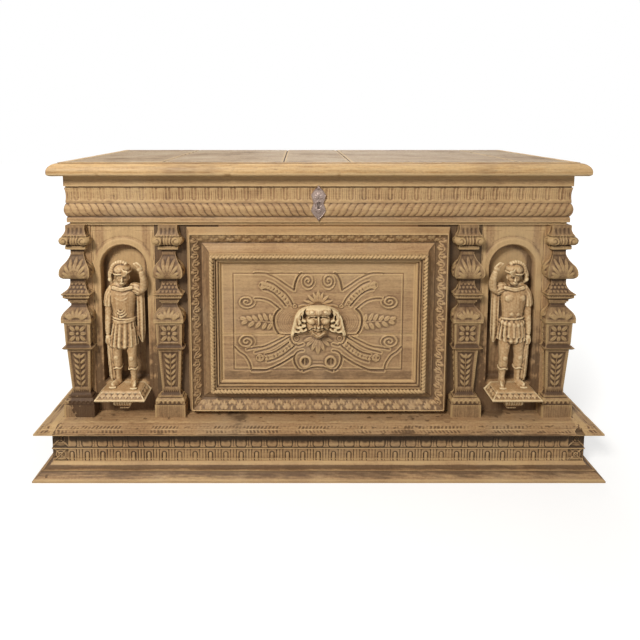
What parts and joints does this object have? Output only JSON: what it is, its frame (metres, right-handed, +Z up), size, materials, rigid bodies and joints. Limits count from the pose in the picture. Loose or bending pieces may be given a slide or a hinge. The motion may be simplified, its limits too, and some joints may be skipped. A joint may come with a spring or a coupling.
{
  "type": "cassone",
  "caption": "Carved wooden cassone with a hinged plank lid, niches with soldiers, square columns and a framed panel with a mask.",
  "frame": {"origin": "centre of the footprint, on the floor, under the closed chest with its hinge knuckles", "axes": "+X to the viewer's right along the front, +Z up, the carved front faces -Y"},
  "size_m": [1.622, 0.625, 0.904],
  "materials": {
    "body_wood": "stripped, dry, open-grained oak-brown",
    "pale_carved_wood": "pale yellow carved wood",
    "lid_moulding_wood": "worn, warm, light",
    "lid_top_wood": "dry and cracked",
    "secondary_wood": "rough sawn",
    "wrought_iron": "dark forged",
    "escutcheon_metal": "aged, pinkish grey"
  },
  "bodies": {
    "chest": {"back_panel": "secondary_wood", "back_posts": "secondary_wood", "back_rail": "secondary_wood", "base_moulding_front": "body_wood", "base_moulding_left": "body_wood", "base_moulding_right": "body_wood", "bracket_left": "pale_carved_wood", "bracket_pendants": "pale_carved_wood", "bracket_right": "pale_carved_wood", "centre_board_lower": "body_wood", "centre_board_upper": "body_wood", "column_far_left": "body_wood", "column_far_right": "body_wood", "column_near_left": "body_wood", "column_near_right": "body_wood", "escutcheon": "escutcheon_metal", "floor_bearers": "secondary_wood", "floor_boards": "secondary_wood", "frame_bottom": "body_wood", "frame_left": "body_wood", "frame_right": "body_wood", "frame_top": "body_wood", "frieze_front": "body_wood", "frieze_left": "body_wood", "frieze_right": "body_wood", "front_bottom_rail": "body_wood", "front_post_left": "body_wood", "front_post_right": "body_wood", "front_stile_left": "body_wood", "front_stile_right": "body_wood", "front_top_rail": "body_wood", "hinge_leaves_chest": "wrought_iron", "hinge_pins": "wrought_iron", "ledge_front": "body_wood", "ledge_left": "body_wood", "ledge_right": "body_wood", "lock_case": "wrought_iron", "mascaron": "pale_carved_wood", "niche_panel_left": "body_wood", "niche_panel_right": "body_wood", "plinth_back": "secondary_wood", "plinth_band_front": "body_wood", "plinth_band_left": "body_wood", "plinth_band_right": "body_wood", "side_panel_left": "body_wood", "side_panel_right": "body_wood", "soldier_left": "pale_carved_wood", "soldier_right": "pale_carved_wood"},
    "lid": {"lid_battens": "secondary_wood", "lid_edge_front": "lid_moulding_wood", "lid_edge_left": "lid_moulding_wood", "lid_edge_right": "lid_moulding_wood", "lid_plank_left": "lid_top_wood", "lid_plank_left_end": "lid_top_wood", "lid_plank_middle": "lid_top_wood", "lid_plank_right": "lid_top_wood", "lid_plank_right_end": "lid_top_wood", "lock_staple": "wrought_iron", "hinge_leaves_lid": "wrought_iron"},
    "lock_bolt": {"lock_bolt": "wrought_iron"}
  },
  "joints": [
    {"name": "lid_hinge", "type": "hinge", "parent": "chest", "child": "lid", "pos_m": [0, 0.3065, 0.86685], "axis": [-1, 0, 0], "range_deg": [0, 95]},
    {"name": "lock_bolt_slide", "type": "slide", "parent": "chest", "child": "lock_bolt", "axis": [1, 0, 0], "range_m": [0, 0.022]}
  ]
}
